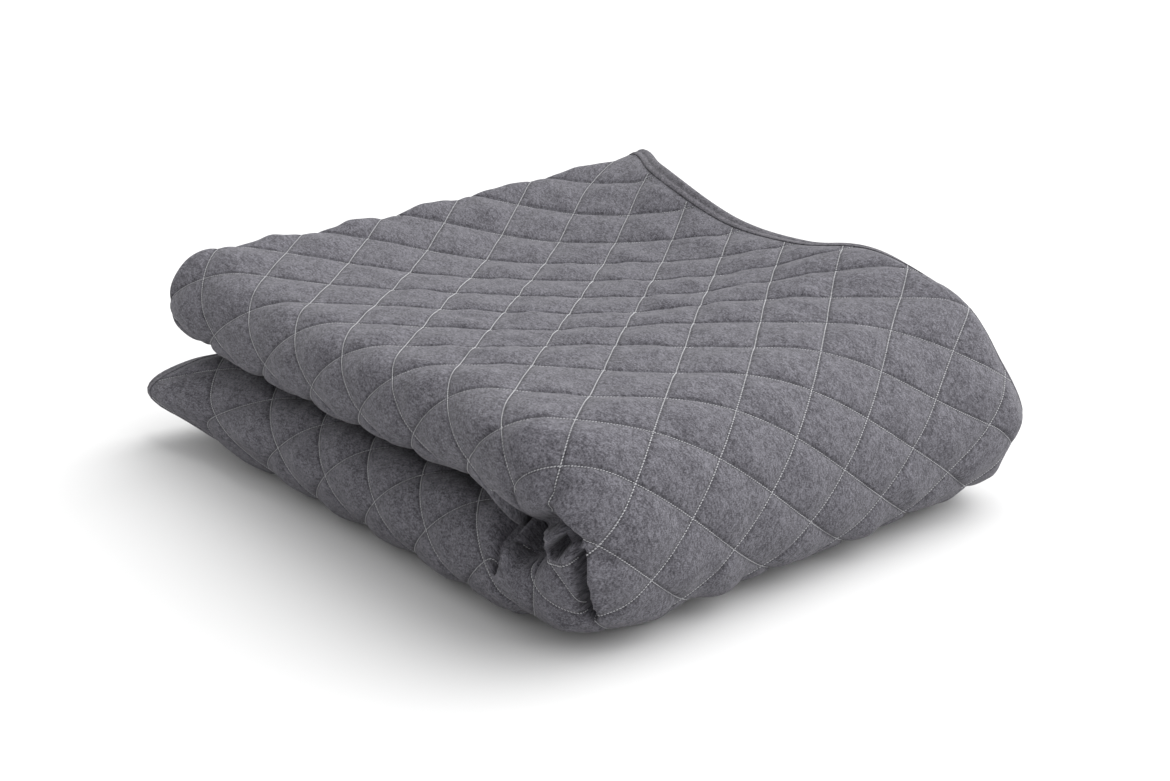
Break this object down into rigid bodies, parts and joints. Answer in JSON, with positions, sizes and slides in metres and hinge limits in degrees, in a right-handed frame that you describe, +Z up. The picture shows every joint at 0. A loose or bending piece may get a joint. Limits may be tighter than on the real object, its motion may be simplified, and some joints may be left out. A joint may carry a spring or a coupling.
{
  "type": "folded quilted bedspread",
  "caption": "Quilted bedspread with a narrow bound edge, folded into a thick soft pile that lies flat.",
  "frame": {"origin": "on the surface the pile lies on, under the middle of its outline", "axes": "+X along the pile towards the round end of the last fold, +Y across it towards the side where the edges lie, +Z up"},
  "size_m": [0.667, 0.5598, 0.2447],
  "materials": {
    "quilted_jersey": "charcoal heather jersey, diamond quilted with pale thread",
    "binding_jersey": "narrow binding of the same heather jersey"
  },
  "bodies": {
    "root": {"quilted_cloth": "quilted_jersey", "edge_binding": "binding_jersey"}
  },
  "joints": []
}
